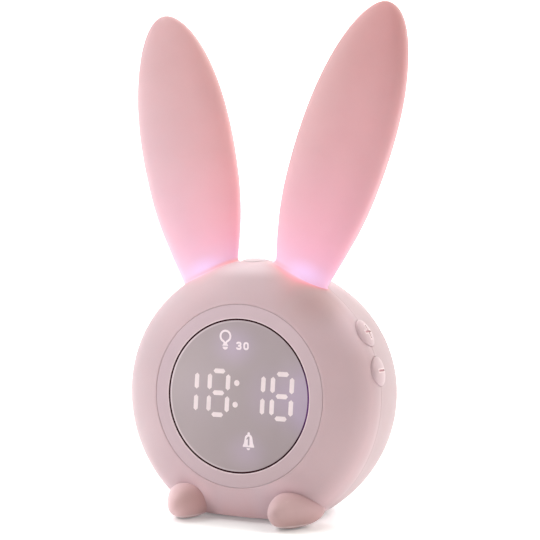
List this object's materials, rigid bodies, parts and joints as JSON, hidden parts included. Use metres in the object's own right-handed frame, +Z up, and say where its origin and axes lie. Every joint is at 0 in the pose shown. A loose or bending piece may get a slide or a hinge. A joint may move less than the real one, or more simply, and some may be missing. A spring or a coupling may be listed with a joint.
{
  "type": "kids alarm clock with night light",
  "caption": "Round-bodied bedside alarm clock with two long glowing ears, a round lit display, egg-shaped feet and press buttons on its side, top and rear.",
  "frame": {"origin": "bottom centre of the bounding box: on the floor plane, below the middle of the clock from side to side and from the toes to the rear", "axes": "+Z up, the display faces -Y, +X to the viewer's right"},
  "size_m": [0.1334, 0.0868, 0.2302],
  "materials": {
    "shell_pink": "silky soft-touch pale pink",
    "ear_pink": "translucent silky pink, lit from inside",
    "ring_pink": "fine matte pale pink",
    "gasket": "satin near-black",
    "lens": "satin grey, back-printed",
    "display_lit": "translucent white, lit",
    "reflector_white": "matte white",
    "led_body": "clear resin",
    "circuit_board": "solder mask",
    "screw_steel": "zinc plated",
    "button_pink": "silky pale pink",
    "black_plastic": "moulded black",
    "pad_rubber": "matte rubber",
    "battery_foil": "laminated foil pouch",
    "foam_tape": "foam",
    "magnet_steel": "plated",
    "speaker_paper": "treated paper",
    "port_steel": "nickel plated"
  },
  "bodies": {
    "clock_body": {"front_shell": "shell_pink", "rear_shell": "shell_pink", "left_ear": "ear_pink", "right_ear": "ear_pink", "face_ring": "ring_pink", "lens_gasket": "gasket", "display_lens": "lens", "time_segments": "display_lit", "display_icons": "display_lit", "display_reflector": "reflector_white", "display_leds": "led_body", "display_board": "circuit_board", "display_screws": "screw_steel", "button_boards": "circuit_board", "tact_switches": "black_plastic", "left_foot": "shell_pink", "right_foot": "shell_pink", "foot_screws": "screw_steel", "rear_pads": "pad_rubber", "shell_screws": "screw_steel", "ear_led_boards": "circuit_board", "ear_leds": "led_body", "main_board": "circuit_board", "board_components": "black_plastic", "board_screws": "screw_steel", "battery_cell": "battery_foil", "battery_tape": "foam_tape", "speaker_frame": "black_plastic", "speaker_magnet": "magnet_steel", "speaker_cone": "speaker_paper", "speaker_screws": "screw_steel", "usb_port": "port_steel", "usb_board": "circuit_board"},
    "plus": {"plus_button": "button_pink"},
    "minus": {"minus_button": "button_pink"},
    "mode": {"mode_button": "button_pink"},
    "alarm": {"alarm_button": "button_pink"},
    "top": {"top_button": "button_pink"}
  },
  "joints": [
    {"name": "plus_press", "type": "slide", "parent": "clock_body", "child": "plus", "axis": [-0.8678, 0, -0.497], "range_m": [0, 0.0008], "stiffness_N_per_m": 400, "springref_m": -0.0004},
    {"name": "minus_press", "type": "slide", "parent": "clock_body", "child": "minus", "axis": [-0.9732, 0, -0.23], "range_m": [0, 0.0008], "stiffness_N_per_m": 400, "springref_m": -0.0004},
    {"name": "mode_press", "type": "slide", "parent": "clock_body", "child": "mode", "axis": [0.3907, -0.9205, 0], "range_m": [0, 0.0008], "stiffness_N_per_m": 400, "springref_m": -0.0004},
    {"name": "alarm_press", "type": "slide", "parent": "clock_body", "child": "alarm", "axis": [-0.3907, -0.9205, 0], "range_m": [0, 0.0008], "stiffness_N_per_m": 400, "springref_m": -0.0004},
    {"name": "top_press", "type": "slide", "parent": "clock_body", "child": "top", "axis": [0, 0, -1], "range_m": [0, 0.0008], "stiffness_N_per_m": 400, "springref_m": -0.0004}
  ]
}
